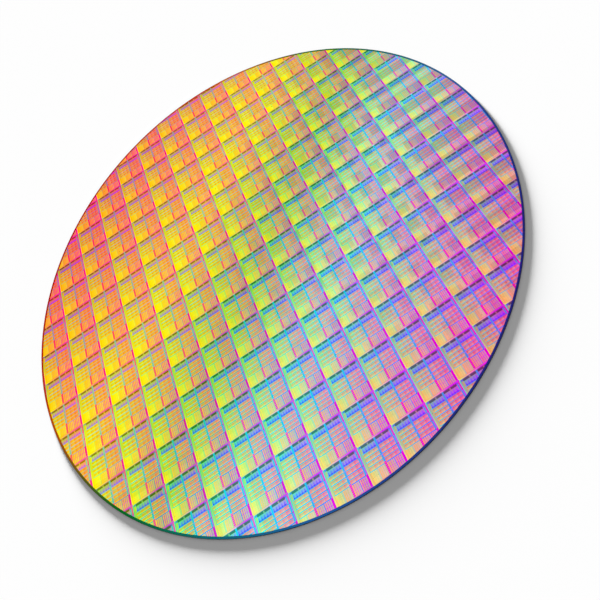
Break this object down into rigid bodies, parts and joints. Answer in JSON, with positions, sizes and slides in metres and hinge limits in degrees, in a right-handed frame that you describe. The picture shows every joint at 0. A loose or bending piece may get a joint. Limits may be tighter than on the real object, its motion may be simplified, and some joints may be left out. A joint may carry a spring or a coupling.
{
  "type": "silicon wafer",
  "caption": "Thin round silicon disc with an upright, slightly rounded edge, its polished top face covered almost to the rim with a square grid of identical circuit dies in rainbow colours.",
  "frame": {"origin": "centre of the flat back face", "axes": "+Z out of the patterned face, +X along the die rows, +Y towards the head of every die column; +Z is also the axis of the disc"},
  "size_m": [0.3, 0.3, 0.0008],
  "materials": {
    "silicon": "polished"
  },
  "bodies": {
    "root": {"wafer": "silicon"}
  },
  "joints": []
}
